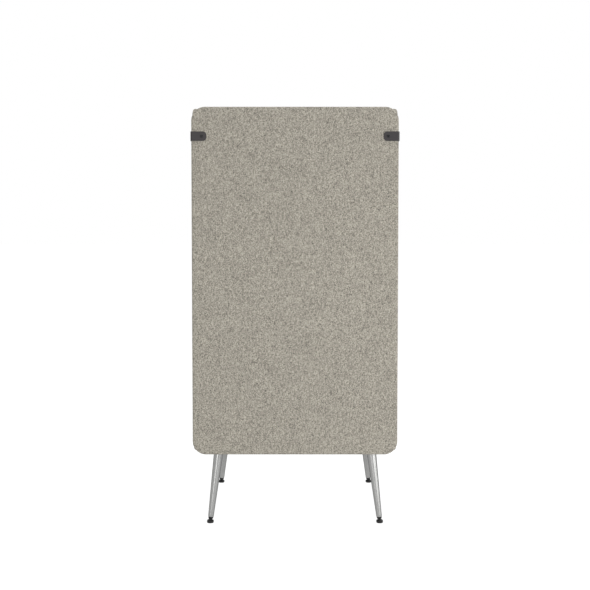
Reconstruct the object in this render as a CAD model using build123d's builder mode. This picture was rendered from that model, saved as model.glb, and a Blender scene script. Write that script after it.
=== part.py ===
"""Single-seat privacy booth: three upholstered screens round a low seat on four splayed metal legs."""

import os
from math import pi, radians, sqrt, tan

from build123d import *

# Whole booth
booth_width = 792.0
booth_depth = 756.0
screen_height = 1338.0
floor_gap = 282.0

# Upholstered screens
screen_thickness = 38.0
screen_corner_radius = 52.0
cover_thickness = 1.5
cover_edge_round = 8.0
face_foam = 8.5
edge_foam = 6.5
core_edge_ease = 1.5

# Corner brackets that tie the side screens to the back screen
bracket_thickness = 3.0
bracket_height = 36.0
bracket_reach = 58.0
bracket_end_radius = 13.5
bracket_bend_radius = 4.0
bracket_edge_ease = 0.6
bracket_drop = 94.5
bracket_screw_inset = 18.0

# Bracket screws and their threaded inserts
bracket_screw_radius = 3.0
bracket_screw_length = 25.0
bracket_screw_head_radius = 5.25
bracket_screw_head_height = 3.3
bracket_screw_head_round = 2.2
bracket_socket_width = 4.0
bracket_socket_depth = 2.0
bracket_insert_radius = 4.5
bracket_insert_length = 13.0

# Seat frame
seat_setback = 38.0
seat_frame_lift = 10.0
rail_thickness = 22.0
rail_height = 75.0
corner_block_length = 100.0
corner_block_height = 50.0
deck_thickness = 12.0
deck_margin = 2.0
dust_cover_thickness = 0.8
dust_cover_margin = 4.0

# Deck screws
deck_screw_radius = 2.2
deck_screw_length = 32.0
deck_screw_head_radius = 4.2
deck_screw_end_inset = 60.0

# Bolts from the seat frame into the screens
bolt_radius = 4.0
bolt_length = 43.0
bolt_head_radius = 8.0
bolt_head_height = 4.5
bolt_socket_width = 5.0
bolt_socket_depth = 2.5
side_bolt_past_block = 18.0
back_bolt_past_block = 36.0
bolt_insert_radius = 6.0
bolt_insert_length = 13.0

# Upholstered front of the seat frame
apron_foam = 6.0
apron_cover_thickness = 1.2
apron_lip = 18.0

# Seat and back cushions
cushion_side_gap = 4.0
seat_cushion_thickness = 74.0
seat_cushion_crown = 14.0
seat_cushion_corner = 28.0
seat_cushion_draw_in = 4.0
seat_cushion_overhang = 12.0
back_cushion_height = 400.0
back_cushion_thickness = 92.0
back_cushion_crown = 16.0
back_cushion_corner = 34.0
back_cushion_draw_in = 8.0
cushion_edge_roll = 12.0

# Legs
foot_side_inset = 62.4
foot_end_inset = 60.5
splay_angle = 6.65
leg_end_height = 22.9
leg_end_radius = 9.3
leg_top_radius = 19.5
leg_wall = 2.0
leg_plate_width = 70.0
leg_plate_thickness = 4.0
leg_plate_corner = 8.0

# Wood screws of the leg plates
plate_screw_radius = 2.5
plate_screw_length = 34.0
plate_screw_head_radius = 4.8
plate_screw_head_height = 2.8
plate_screw_spacing = 52.0

# Levelling glides
thread_radius = 4.0
thread_pitch = 1.25
thread_length = 42.0
glide_travel = 12.0
glide_bush_length = 24.0
collar_width = 19.0
collar_height = 6.0
ball_radius = 4.5
ball_height = 7.4
neck_radius = 2.6
pad_radius = 13.25
pad_shoulder_height = 10.8
pad_shoulder_round = 2.0
pad_boss_radius = 8.0
pad_boss_height = 14.8
pad_mouth_radius = 4.3
sole_thickness = 2.0
sole_margin = 0.8

# Clearances
screw_hole_clearance = 0.25
thread_fit = 0.05
running_fit = 0.08
rest_gap = 0.3
cut_overrun = 1.0

# Places that follow from the sizes
bracket_proud = bracket_thickness + bracket_screw_head_height
back_face_y = (bracket_proud - booth_depth) / 2
front_edge_y = back_face_y + booth_depth
inner_face_y = back_face_y + screen_thickness
inner_face_x = booth_width / 2 - screen_thickness
screen_middle_z = floor_gap + screen_height / 2
screen_top_z = floor_gap + screen_height
side_screen_depth = booth_depth - screen_thickness
side_screen_middle_y = (inner_face_y + front_edge_y) / 2
layer_to_core = cover_thickness + face_foam
edge_to_core = cover_thickness + edge_foam
bracket_middle_z = screen_top_z - bracket_drop - bracket_height / 2

seat_base_z = floor_gap + seat_frame_lift
seat_front_y = front_edge_y - seat_setback
seat_depth = seat_front_y - inner_face_y
seat_middle_y = (seat_front_y + inner_face_y) / 2
rail_top_z = seat_base_z + rail_height
deck_top_z = rail_top_z + deck_thickness
rail_inner_x = inner_face_x - rail_thickness
rail_middle_z = seat_base_z + rail_height / 2
apron_face_y = seat_front_y + apron_foam + apron_cover_thickness

lean = tan(radians(splay_angle))
axis_stretch = sqrt(1 + 2 * lean**2)
plate_top_z = seat_base_z - dust_cover_thickness
plate_bottom_z = plate_top_z - leg_plate_thickness
leg_end = leg_end_height * axis_stretch
leg_top = plate_bottom_z * axis_stretch
collar_top = leg_end - rest_gap
ball_place = ball_height * axis_stretch

os.makedirs("parts", exist_ok=True)


def save(piece, name):
    """Label a finished piece and write it under its node name."""
    piece.label = name
    export_step(piece, f"parts/{name}.step")


def facing(origin, outward):
    """A plane at a point, looking outward, with its local Y upright on a wall."""
    normal = Vector(*outward)
    upright = Vector(0, 0, 1)
    return Plane(origin=origin, x_dir=upright.cross(normal), z_dir=normal)


def turned_round(plane):
    """The same place seen from the other side."""
    return Plane(origin=plane.origin, x_dir=-plane.x_dir, z_dir=-plane.z_dir)


# Screens
screen_planes = {
    "back": facing((0, inner_face_y - screen_thickness / 2, screen_middle_z), (0, -1, 0)),
    "left": facing((screen_thickness / 2 - booth_width / 2, side_screen_middle_y, screen_middle_z), (-1, 0, 0)),
    "right": facing((booth_width / 2 - screen_thickness / 2, side_screen_middle_y, screen_middle_z), (1, 0, 0)),
}
screen_widths = {"back": booth_width, "left": side_screen_depth, "right": side_screen_depth}

bracket_screw_x = booth_width / 2 - bracket_reach + bracket_screw_inset
bracket_screw_y = inner_face_y + bracket_reach - bracket_screw_inset
bracket_seats = {
    "back": [facing((side * bracket_screw_x, back_face_y, bracket_middle_z), (0, -1, 0)) for side in (-1, 1)],
    "left": [facing((-booth_width / 2, bracket_screw_y, bracket_middle_z), (-1, 0, 0))],
    "right": [facing((booth_width / 2, bracket_screw_y, bracket_middle_z), (1, 0, 0))],
}

back_bolt_x = rail_inner_x - corner_block_length - back_bolt_past_block
side_bolt_step = seat_depth / 2 - rail_thickness - corner_block_length - side_bolt_past_block
side_bolt_y = [seat_middle_y + step * side_bolt_step for step in (-1, 1)]
bolt_seats = {
    "back": [facing((side * back_bolt_x, inner_face_y + rail_thickness, rail_middle_z), (0, 1, 0)) for side in (-1, 1)],
    "left": [facing((-rail_inner_x, y, rail_middle_z), (1, 0, 0)) for y in side_bolt_y],
    "right": [facing((rail_inner_x, y, rail_middle_z), (-1, 0, 0)) for y in side_bolt_y],
}


def rounded_slab(plane, width, height, corner, half_thickness, edge_round):
    """Half of a screen's layer, from its middle plane to its face, with the face's edge rounded."""
    with BuildPart() as slab:
        with BuildSketch(plane):
            RectangleRounded(width, height, corner)
        extrude(amount=half_thickness)
        face = slab.faces().sort_by(Axis(plane.origin, plane.z_dir))[-1]
        fillet(face.edges(), radius=edge_round)
    return slab.part


def cover_slab(plane, width):
    """Half of the space that the cover encloses, cover included."""
    return rounded_slab(
        plane, width, screen_height, screen_corner_radius, screen_thickness / 2, cover_edge_round
    )


def foam_slab(plane, width):
    """Half of the space inside the cover."""
    return rounded_slab(
        plane,
        width - 2 * cover_thickness,
        screen_height - 2 * cover_thickness,
        screen_corner_radius - cover_thickness,
        screen_thickness / 2 - cover_thickness,
        cover_edge_round - cover_thickness,
    )


def core_slab(plane, width):
    """Half of the board inside the foam."""
    return rounded_slab(
        plane,
        width - 2 * edge_to_core,
        screen_height - 2 * edge_to_core,
        screen_corner_radius - edge_to_core,
        screen_thickness / 2 - layer_to_core,
        core_edge_ease,
    )


def screen_layer(plane, outside, inside, seats, hole_radius):
    """A shell between two slabs, with a clear hole at each fastener that passes through it."""
    with BuildPart() as layer:
        add(outside)
        add(inside, mode=Mode.SUBTRACT)
        for seat in seats:
            with BuildSketch(Plane(origin=plane.origin, x_dir=plane.x_dir, z_dir=plane.z_dir)):
                place = plane.to_local_coords(seat.origin)
                with Locations((place.X, place.Y)):
                    Circle(hole_radius)
            extrude(amount=screen_thickness, mode=Mode.SUBTRACT)
    return layer.part


def screen_core(plane, width, bracket_places, bolt_places):
    """The board, with a blind hole for each threaded insert."""
    outward_depth = bracket_insert_length
    inward = turned_round(plane)
    core_face = screen_thickness / 2 - layer_to_core
    with BuildPart() as core:
        add(core_slab(plane, width))
        add(core_slab(inward, width))
        for seat in bracket_places:
            with BuildSketch(plane.offset(core_face)):
                place = plane.to_local_coords(seat.origin)
                with Locations((place.X, place.Y)):
                    Circle(bracket_insert_radius)
            extrude(amount=-outward_depth, mode=Mode.SUBTRACT)
        for seat in bolt_places:
            with BuildSketch(inward.offset(core_face)):
                place = inward.to_local_coords(seat.origin)
                with Locations((place.X, place.Y)):
                    Circle(bolt_insert_radius)
            extrude(amount=-bolt_insert_length, mode=Mode.SUBTRACT)
    return core.part


bracket_hole = bracket_screw_radius + screw_hole_clearance
bolt_hole = bolt_radius + screw_hole_clearance
for screen, outward in screen_planes.items():
    width = screen_widths[screen]
    inward = turned_round(outward)
    save(screen_core(outward, width, bracket_seats[screen], bolt_seats[screen]), f"{screen}_screen_core")
    for side, plane, seats, hole in (
        ("outer", outward, bracket_seats[screen], bracket_hole),
        ("inner", inward, bolt_seats[screen], bolt_hole),
    ):
        foam_space = foam_slab(plane, width)
        foam = screen_layer(plane, foam_space, core_slab(plane, width), seats, hole)
        cover = screen_layer(plane, cover_slab(plane, width), foam_space, seats, hole)
        save(foam, f"{screen}_screen_foam_{side}")
        save(cover, f"{screen}_screen_cover_{side}")


# Corner brackets
def corner_bracket(side):
    """An L of flat bar that wraps a back corner, one arm on the back screen and one on the side screen."""
    face_x = side * booth_width / 2
    outer_x = face_x + side * bracket_thickness
    outer_y = back_face_y - bracket_thickness
    end_x = face_x - side * bracket_reach
    end_y = inner_face_y + bracket_reach
    with BuildPart() as bracket:
        with BuildSketch(Plane.XY.offset(bracket_middle_z - bracket_height / 2)) as profile:
            with BuildLine():
                Polyline(
                    (end_x, outer_y),
                    (outer_x, outer_y),
                    (outer_x, end_y),
                    (face_x, end_y),
                    (face_x, back_face_y),
                    (end_x, back_face_y),
                    close=True,
                )
            make_face()
            outside = profile.vertices().sort_by_distance((outer_x, outer_y))[0]
            fillet(outside, radius=bracket_bend_radius + bracket_thickness)
            inside = profile.vertices().sort_by_distance((face_x, back_face_y))[0]
            fillet(inside, radius=bracket_bend_radius)
        extrude(amount=bracket_height)
        back_end = bracket.edges().filter_by(Axis.Y).group_by(Axis.X)[0 if side > 0 else -1]
        fillet(back_end, radius=bracket_end_radius)
        side_end = bracket.edges().filter_by(Axis.X).group_by(Axis.Y)[-1]
        fillet(side_end, radius=bracket_end_radius)
        outer_rim = bracket.edges().filter_by(Axis.X).group_by(Axis.Y)[0]
        fillet(outer_rim, radius=bracket_edge_ease)
        for seat in (bracket_seats["back"][0 if side < 0 else 1], bracket_seats["left" if side < 0 else "right"][0]):
            with BuildSketch(seat.offset(-cut_overrun)):
                Circle(bracket_hole)
            extrude(amount=bracket_thickness + 2 * cut_overrun, mode=Mode.SUBTRACT)
    return bracket.part


save(corner_bracket(-1), "corner_bracket_left")
save(corner_bracket(1), "corner_bracket_right")

all_bracket_seats = [seat for seats in bracket_seats.values() for seat in seats]
with BuildPart() as bracket_screws:
    for seat in all_bracket_seats:
        head_seat = seat.offset(bracket_thickness)
        with BuildPart() as screw:
            with BuildSketch(head_seat):
                Circle(bracket_screw_head_radius)
            extrude(amount=bracket_screw_head_height)
            head_rim = screw.faces().sort_by(Axis(head_seat.origin, head_seat.z_dir))[-1].edges()
            fillet(head_rim, radius=bracket_screw_head_round)
            with BuildSketch(head_seat):
                Circle(bracket_screw_radius)
            extrude(amount=-bracket_screw_length)
            with BuildSketch(head_seat.offset(bracket_screw_head_height)):
                RegularPolygon(bracket_socket_width / 2, 6, major_radius=False)
            extrude(amount=-bracket_socket_depth, mode=Mode.SUBTRACT)
save(bracket_screws.part, "bracket_screws")

with BuildPart() as bracket_inserts:
    for seat in all_bracket_seats:
        with BuildSketch(seat.offset(-layer_to_core)):
            Circle(bracket_insert_radius)
            Circle(bracket_screw_radius + thread_fit, mode=Mode.SUBTRACT)
        extrude(amount=-bracket_insert_length)
save(bracket_inserts.part, "bracket_inserts")


# Seat frame
all_bolt_seats = [seat for seats in bolt_seats.values() for seat in seats]


def rail(x_low, x_high, y_low, y_high, seats):
    """A rail of the seat frame, drilled for the bolts that hold it to its screen."""
    with BuildPart() as board:
        with BuildSketch(Plane.XY.offset(seat_base_z)):
            with Locations(((x_low + x_high) / 2, (y_low + y_high) / 2)):
                Rectangle(x_high - x_low, y_high - y_low)
        extrude(amount=rail_height)
        for seat in seats:
            with BuildSketch(seat.offset(cut_overrun)):
                Circle(bolt_hole)
            extrude(amount=-(rail_thickness + 2 * cut_overrun), mode=Mode.SUBTRACT)
        for place in deck_screw_places:
            with BuildSketch(Plane.XY.offset(rail_top_z)):
                with Locations(place):
                    Circle(deck_screw_radius + thread_fit)
            extrude(amount=deck_thickness - deck_screw_length - cut_overrun, mode=Mode.SUBTRACT)
    return board.part


rail_middle_x = inner_face_x - rail_thickness / 2
deck_screw_step = seat_depth / 2 - deck_screw_end_inset
deck_screw_places = [
    (side * rail_middle_x, seat_middle_y + step * deck_screw_step) for side in (-1, 1) for step in (-1, 0, 1)
]
save(rail(-inner_face_x, -rail_inner_x, inner_face_y, seat_front_y, bolt_seats["left"]), "seat_rail_left")
save(rail(rail_inner_x, inner_face_x, inner_face_y, seat_front_y, bolt_seats["right"]), "seat_rail_right")
save(
    rail(-rail_inner_x, rail_inner_x, inner_face_y, inner_face_y + rail_thickness, bolt_seats["back"]),
    "seat_rail_back",
)
save(rail(-rail_inner_x, rail_inner_x, seat_front_y - rail_thickness, seat_front_y, []), "seat_rail_front")

# Each leg's foot on the floor, and the side and end of the booth that it stands at
legs = {
    "back_left": (-1, -1),
    "back_right": (1, -1),
    "front_left": (-1, 1),
    "front_right": (1, 1),
}


def foot_place(side, end):
    """Where a leg's centre line meets the floor."""
    edge_y = back_face_y if end < 0 else front_edge_y
    return side * (booth_width / 2 - foot_side_inset), edge_y - end * foot_end_inset


def leg_plane(side, end):
    """A plane at the foot, looking up the leg's centre line."""
    x, y = foot_place(side, end)
    return Plane(origin=(x, y, 0), x_dir=(1, 0, side * lean), z_dir=(-side * lean, -end * lean, 1))


def plate_centre(side, end):
    """Where a leg's centre line meets the underside of its plate."""
    x, y = foot_place(side, end)
    return x - side * lean * plate_bottom_z, y - end * lean * plate_bottom_z


def plate_screw_places(side, end):
    """The four screws of a leg plate."""
    x, y = plate_centre(side, end)
    half = plate_screw_spacing / 2
    return [(x + dx, y + dy) for dx in (-half, half) for dy in (-half, half)]


all_plate_screws = [place for side, end in legs.values() for place in plate_screw_places(side, end)]
plate_screw_reach = plate_bottom_z + plate_screw_length

with BuildPart() as corner_blocks:
    for side, end in legs.values():
        block_x = side * (rail_inner_x - corner_block_length / 2)
        rail_inner_y = inner_face_y + rail_thickness if end < 0 else seat_front_y - rail_thickness
        block_y = rail_inner_y - end * corner_block_length / 2
        with BuildSketch(Plane.XY.offset(seat_base_z)):
            with Locations((block_x, block_y)):
                Rectangle(corner_block_length, corner_block_length)
        extrude(amount=corner_block_height)
    with BuildSketch(Plane.XY.offset(seat_base_z)):
        with Locations(*all_plate_screws):
            Circle(plate_screw_radius + thread_fit)
    extrude(amount=plate_screw_reach - seat_base_z + cut_overrun, mode=Mode.SUBTRACT)
save(corner_blocks.part, "corner_blocks")

with BuildPart() as seat_deck:
    with BuildSketch(Plane.XY.offset(rail_top_z)):
        with Locations((0, seat_middle_y)):
            Rectangle(2 * (inner_face_x - deck_margin), seat_depth - 2 * deck_margin)
    extrude(amount=deck_thickness)
    with Locations(*[(x, y, deck_top_z) for x, y in deck_screw_places]):
        CounterSinkHole(
            radius=deck_screw_radius + screw_hole_clearance,
            counter_sink_radius=deck_screw_head_radius + screw_hole_clearance,
            depth=deck_thickness,
        )
save(seat_deck.part, "seat_deck")

with BuildPart() as deck_screws:
    for x, y in deck_screw_places:
        with BuildSketch(Plane.XY.offset(deck_top_z)):
            with Locations((x, y)):
                Circle(deck_screw_head_radius)
        with BuildSketch(Plane.XY.offset(deck_top_z - deck_screw_head_radius + deck_screw_radius)):
            with Locations((x, y)):
                Circle(deck_screw_radius)
        loft()
        with BuildSketch(Plane.XY.offset(deck_top_z - deck_screw_length)):
            with Locations((x, y)):
                Circle(deck_screw_radius)
        extrude(amount=deck_screw_length - deck_screw_head_radius + deck_screw_radius)
save(deck_screws.part, "deck_screws")

with BuildPart() as dust_cover:
    dust_front_y = seat_front_y - apron_lip - dust_cover_margin
    dust_back_y = inner_face_y + dust_cover_margin
    with BuildSketch(Plane.XY.offset(plate_top_z)):
        with Locations((0, (dust_front_y + dust_back_y) / 2)):
            Rectangle(2 * (inner_face_x - dust_cover_margin), dust_front_y - dust_back_y)
        with Locations(*all_plate_screws):
            Circle(plate_screw_radius + screw_hole_clearance, mode=Mode.SUBTRACT)
    extrude(amount=dust_cover_thickness)
save(dust_cover.part, "dust_cover")

with BuildPart() as screen_bolts:
    for seat in all_bolt_seats:
        with BuildSketch(seat):
            Circle(bolt_head_radius)
        extrude(amount=bolt_head_height)
        with BuildSketch(seat):
            Circle(bolt_radius)
        extrude(amount=-bolt_length)
        with BuildSketch(seat.offset(bolt_head_height)):
            RegularPolygon(bolt_socket_width / 2, 6, major_radius=False)
        extrude(amount=-bolt_socket_depth, mode=Mode.SUBTRACT)
save(screen_bolts.part, "screen_bolts")

with BuildPart() as screen_inserts:
    for seat in all_bolt_seats:
        with BuildSketch(seat.offset(-rail_thickness - layer_to_core)):
            Circle(bolt_insert_radius)
            Circle(bolt_radius + thread_fit, mode=Mode.SUBTRACT)
        extrude(amount=-bolt_insert_length)
save(screen_inserts.part, "screen_inserts")

# Upholstered front
apron_width = 2 * (inner_face_x - rest_gap)
with BuildPart() as apron_foam_sheet:
    with BuildSketch(Plane.XY.offset(seat_base_z)):
        with Locations((0, seat_front_y + apron_foam / 2)):
            Rectangle(apron_width, apron_foam)
    extrude(amount=deck_top_z - seat_base_z)
save(apron_foam_sheet.part, "seat_apron_foam")

with BuildPart() as apron_cover:
    apron_low_z = seat_base_z - apron_cover_thickness
    apron_high_z = deck_top_z + apron_cover_thickness
    apron_inner_y = seat_front_y - apron_lip
    with BuildSketch(Plane.YZ.offset(-apron_width / 2)) as apron_profile:
        with BuildLine():
            Polyline(
                (apron_inner_y, apron_low_z),
                (apron_face_y, apron_low_z),
                (apron_face_y, apron_high_z),
                (apron_inner_y, apron_high_z),
                (apron_inner_y, deck_top_z),
                (apron_face_y - apron_cover_thickness, deck_top_z),
                (apron_face_y - apron_cover_thickness, seat_base_z),
                (apron_inner_y, seat_base_z),
                close=True,
            )
        make_face()
        fillet(apron_profile.vertices().group_by(Axis.X)[-1], radius=apron_cover_thickness)
    extrude(amount=apron_width)
save(apron_cover.part, "seat_apron_cover")


# Cushions
cushion_level_shares = (0.0, 0.08, 0.22, 0.5, 0.78, 0.92, 1.0)
cushion_roll_shares = (1.0, 0.5, 0.15, 0.0, 0.15, 0.5, 1.0)
crown_height_shares = (0.4, 0.75, 0.95, 1.0)
crown_inset_shares = (0.07, 0.16, 0.28, 0.4)


def cushion(plane, width, depth, thickness, crown, corner, draw_in):
    """A crowned pad whose edge is rolled and whose sides are drawn in between its corners."""
    levels = [
        (thickness * height_share, cushion_edge_roll * roll_share)
        for height_share, roll_share in zip(cushion_level_shares, cushion_roll_shares)
    ]
    levels += [
        (thickness + crown * height_share, min(width, depth) * inset_share)
        for height_share, inset_share in zip(crown_height_shares, crown_inset_shares)
    ]
    with BuildPart() as pad:
        for height, inset in levels:
            half_width = width / 2 - inset
            half_depth = depth / 2 - inset
            with BuildSketch(plane.offset(height)) as level:
                with BuildLine():
                    ThreePointArc(
                        (-half_width, -half_depth), (0, draw_in - half_depth), (half_width, -half_depth)
                    )
                    ThreePointArc((half_width, -half_depth), (half_width - draw_in, 0), (half_width, half_depth))
                    ThreePointArc((half_width, half_depth), (0, half_depth - draw_in), (-half_width, half_depth))
                    ThreePointArc(
                        (-half_width, half_depth), (draw_in - half_width, 0), (-half_width, -half_depth)
                    )
                make_face()
                fillet(level.vertices(), radius=corner * (1 - 2 * inset / min(width, depth)))
        loft(ruled=True)
    return pad.part


seat_cushion_low_z = deck_top_z + apron_cover_thickness + rest_gap
seat_cushion_top_z = seat_cushion_low_z + seat_cushion_thickness + seat_cushion_crown
seat_cushion_back_y = inner_face_y + cushion_side_gap
seat_cushion_front_y = apron_face_y + seat_cushion_overhang
seat_cushion_plane = Plane.XY.offset(seat_cushion_low_z)
seat_cushion_plane.origin = (0, (seat_cushion_back_y + seat_cushion_front_y) / 2, seat_cushion_low_z)
cushion_width = 2 * (inner_face_x - cushion_side_gap)
save(
    cushion(
        seat_cushion_plane,
        cushion_width,
        seat_cushion_front_y - seat_cushion_back_y,
        seat_cushion_thickness,
        seat_cushion_crown,
        seat_cushion_corner,
        seat_cushion_draw_in,
    ),
    "seat_cushion",
)

back_cushion_low_z = seat_cushion_top_z + rest_gap
back_cushion_plane = facing(
    (0, inner_face_y + rest_gap, back_cushion_low_z + back_cushion_height / 2), (0, 1, 0)
)
save(
    cushion(
        back_cushion_plane,
        cushion_width,
        back_cushion_height,
        back_cushion_thickness,
        back_cushion_crown,
        back_cushion_corner,
        back_cushion_draw_in,
    ),
    "back_cushion",
)

# Legs
wall_taper = (leg_top_radius - leg_end_radius) / (leg_top - leg_end)


def leg_radius(place):
    """The leg's outer radius at a distance along its centre line from the floor."""
    return leg_end_radius + wall_taper * (place - leg_end)


def leg(side, end):
    """A tapered tube, cut level under its plate and square to its centre line at the foot."""
    plane = leg_plane(side, end)
    past_top = leg_top + leg_top_radius
    with BuildPart() as tube:
        with BuildSketch(plane.offset(leg_end)):
            Circle(leg_radius(leg_end))
        with BuildSketch(plane.offset(past_top)):
            Circle(leg_radius(past_top))
        loft()
        with BuildSketch(plane.offset(leg_end)):
            Circle(leg_radius(leg_end) - leg_wall)
        with BuildSketch(plane.offset(past_top)):
            Circle(leg_radius(past_top) - leg_wall)
        loft(mode=Mode.SUBTRACT)
        split(bisect_by=Plane.XY.offset(plate_bottom_z), keep=Keep.BOTTOM)
    return tube.part


def leg_plate(side, end):
    """The plate that is welded on a leg and screwed under a corner block."""
    with BuildPart() as plate:
        with BuildSketch(Plane.XY.offset(plate_bottom_z)):
            with Locations(plate_centre(side, end)):
                RectangleRounded(leg_plate_width, leg_plate_width, leg_plate_corner)
            with Locations(*plate_screw_places(side, end)):
                Circle(plate_screw_radius + screw_hole_clearance, mode=Mode.SUBTRACT)
        extrude(amount=leg_plate_thickness)
    return plate.part


for corner, (side, end) in legs.items():
    save(leg(side, end), f"leg_{corner}")
    save(leg_plate(side, end), f"leg_plate_{corner}")

with BuildPart() as leg_screws:
    with BuildSketch(Plane.XY.offset(plate_bottom_z - plate_screw_head_height)):
        with Locations(*all_plate_screws):
            Circle(plate_screw_head_radius)
    extrude(amount=plate_screw_head_height)
    with BuildSketch(Plane.XY.offset(plate_bottom_z)):
        with Locations(*all_plate_screws):
            Circle(plate_screw_radius)
    extrude(amount=plate_screw_length)
save(leg_screws.part, "leg_screws")

# Levelling glides
with BuildPart() as glide_bushes:
    for side, end in legs.values():
        plane = leg_plane(side, end)
        with BuildPart() as bush:
            with BuildSketch(plane.offset(leg_end)):
                Circle(leg_radius(leg_end) - leg_wall)
            with BuildSketch(plane.offset(leg_end + glide_bush_length)):
                Circle(leg_radius(leg_end + glide_bush_length) - leg_wall)
            loft()
            with BuildSketch(plane.offset(leg_end - cut_overrun)):
                Circle(thread_radius + running_fit)
            extrude(amount=glide_bush_length + 2 * cut_overrun, mode=Mode.SUBTRACT)
save(glide_bushes.part, "glide_bushes")


def glide_stem(side, end):
    """A threaded stem with a spanner collar and a ball at its foot."""
    plane = leg_plane(side, end)
    with BuildPart() as stem:
        with BuildSketch(plane.offset(collar_top)):
            Circle(thread_radius)
        extrude(amount=thread_length)
        with BuildSketch(plane.offset(collar_top)):
            RegularPolygon(collar_width / 2, 6, major_radius=False)
        extrude(amount=-collar_height)
        with BuildSketch(plane.offset(ball_place)):
            Circle(neck_radius)
        extrude(amount=collar_top - collar_height - ball_place)
        with Locations(plane.offset(ball_place)):
            Sphere(ball_radius)
    return stem.part


def ball_centre(side, end):
    """Where a glide's ball sits on the leg's centre line."""
    x, y = foot_place(side, end)
    return x - side * lean * ball_height, y - end * lean * ball_height


def glide_pad(side, end):
    """A round foot that stands flat on the floor, with a socket for the ball."""
    x, y = ball_centre(side, end)
    with BuildPart() as pad:
        with BuildSketch(Plane.XY.offset(sole_thickness)):
            with Locations((x, y)):
                Circle(pad_radius)
        extrude(amount=pad_shoulder_height - sole_thickness)
        fillet(pad.faces().sort_by(Axis.Z)[-1].edges(), radius=pad_shoulder_round)
        with BuildSketch(Plane.XY.offset(sole_thickness)):
            with Locations((x, y)):
                Circle(pad_boss_radius)
        extrude(amount=pad_boss_height - sole_thickness)
        with Locations((x, y, ball_height)):
            Sphere(ball_radius + running_fit, mode=Mode.SUBTRACT)
        with BuildSketch(Plane.XY.offset(ball_height)):
            with Locations((x, y)):
                Circle(pad_mouth_radius)
        extrude(amount=pad_boss_height - ball_height + cut_overrun, mode=Mode.SUBTRACT)
    return pad.part


def glide_sole(side, end):
    """The soft disc under a glide's pad."""
    with BuildPart() as sole:
        with BuildSketch(Plane.XY):
            with Locations(ball_centre(side, end)):
                Circle(pad_radius - sole_margin)
        extrude(amount=sole_thickness)
    return sole.part


for corner, (side, end) in legs.items():
    save(glide_stem(side, end), f"glide_stem_{corner}")
    save(glide_pad(side, end), f"glide_pad_{corner}")
    save(glide_sole(side, end), f"glide_sole_{corner}")

print(f"stem turn per metre of travel {2 * pi * 1000 / thread_pitch:.4f} rad/m")
print(f"stem turn over the travel {360 * glide_travel / thread_pitch:.1f} degrees")
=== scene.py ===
"""Dressed model of the single-seat privacy booth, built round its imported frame."""

import logging
from dataclasses import dataclass, field
from enum import Enum
from math import asin, copysign, cos, exp, hypot, inf, pi, radians, sin, sqrt, tan, tau
from typing import Iterable, Mapping, Sequence

import bmesh
import bpy
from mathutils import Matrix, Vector, noise


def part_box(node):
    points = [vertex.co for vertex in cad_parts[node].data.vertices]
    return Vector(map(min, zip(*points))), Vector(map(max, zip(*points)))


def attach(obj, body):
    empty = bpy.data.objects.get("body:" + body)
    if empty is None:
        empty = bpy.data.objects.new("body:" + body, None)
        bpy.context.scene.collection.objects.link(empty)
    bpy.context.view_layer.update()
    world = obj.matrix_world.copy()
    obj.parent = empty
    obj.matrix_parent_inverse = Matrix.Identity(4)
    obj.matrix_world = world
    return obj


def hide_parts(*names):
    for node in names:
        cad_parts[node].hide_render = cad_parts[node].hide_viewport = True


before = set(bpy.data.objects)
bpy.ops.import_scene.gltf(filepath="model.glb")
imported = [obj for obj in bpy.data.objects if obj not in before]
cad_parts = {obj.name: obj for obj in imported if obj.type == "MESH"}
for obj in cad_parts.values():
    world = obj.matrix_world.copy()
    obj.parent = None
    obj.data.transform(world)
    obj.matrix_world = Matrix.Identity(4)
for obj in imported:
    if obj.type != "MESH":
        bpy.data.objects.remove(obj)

MM = 0.001

log = logging.getLogger("booth")
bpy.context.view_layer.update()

Colour = tuple[float, float, float, float]
Pair = tuple[float, float]
Quad = tuple[int, int, int, int]
Piece = bpy.types.Object
Socket = bpy.types.NodeSocket

WHITE: Colour = (1.0, 1.0, 1.0, 1.0)


class Corner(Enum):
    """The four legs: name in the frame, side (-1 left, 1 right) and end (-1 closed back, 1 open front)."""

    BACK_LEFT = ("back_left", -1, -1)
    BACK_RIGHT = ("back_right", 1, -1)
    FRONT_LEFT = ("front_left", -1, 1)
    FRONT_RIGHT = ("front_right", 1, 1)

    def __init__(self, label: str, side: int, end: int) -> None:
        """Name the corner's three values."""
        self.label, self.side, self.end = label, side, end


class Screen(Enum):
    """The three screens: name in the frame, the axis along the width and the axis through the thickness."""

    BACK = ("back", 0, 1)
    LEFT = ("left", 1, 0)
    RIGHT = ("right", 1, 0)

    def __init__(self, label: str, across: int, through: int) -> None:
        """Name the screen's three values."""
        self.label, self.across, self.through = label, across, through


class Layers(Enum):
    """The axis through a board's layers."""

    X = 0
    Y = 1
    Z = 2


# Shader helpers


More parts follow.
